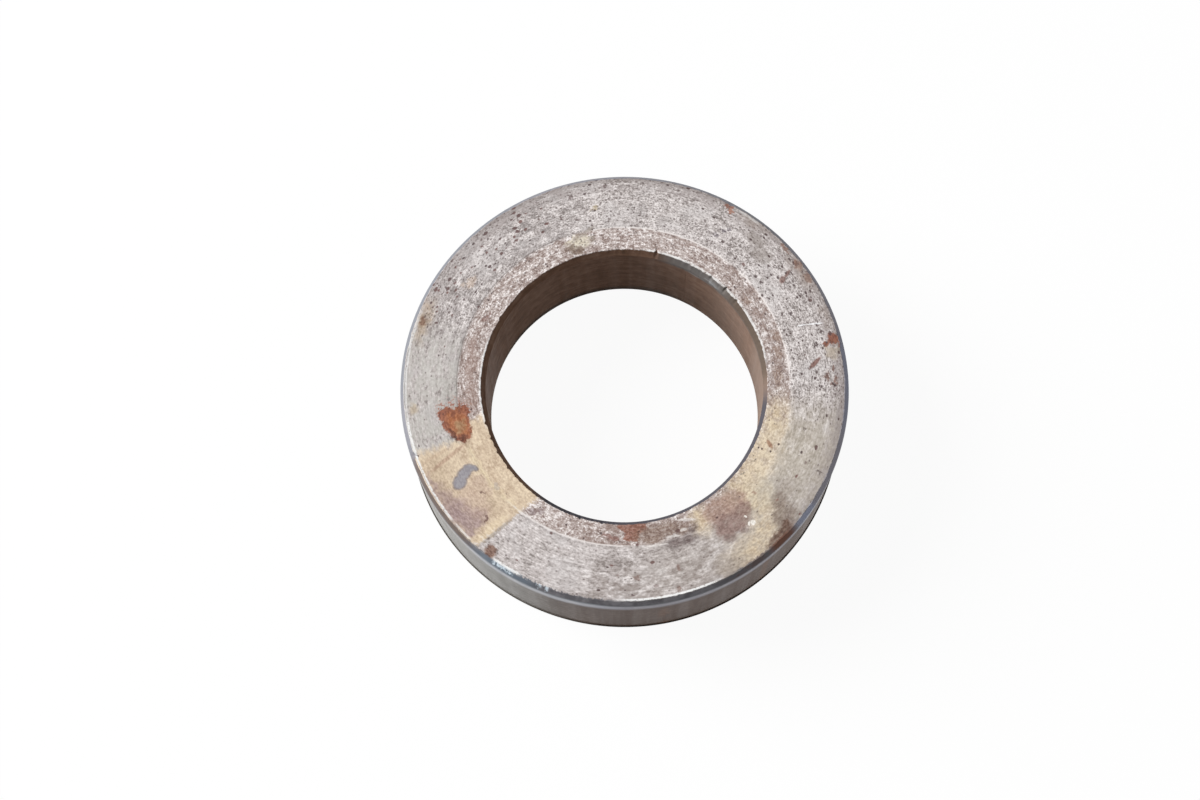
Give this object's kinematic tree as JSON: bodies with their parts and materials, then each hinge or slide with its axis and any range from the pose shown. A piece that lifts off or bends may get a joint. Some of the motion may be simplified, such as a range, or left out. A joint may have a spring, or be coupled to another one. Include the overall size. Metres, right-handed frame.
{
  "type": "axle bearing retainer",
  "caption": "Turned steel retaining ring with a press-fit bore, rounded edges and a bearing race seat, worn and lightly rusted.",
  "frame": {"origin": "centre of the bore, in the plane of the lower flat face", "axes": "+Z along the bore axis, out of the upper face that the bearing's inner race sits on"},
  "size_m": [0.0564, 0.0564, 0.015],
  "materials": {
    "worn_steel": "matte"
  },
  "bodies": {
    "root": {"retainer_ring": "worn_steel"}
  },
  "joints": []
}
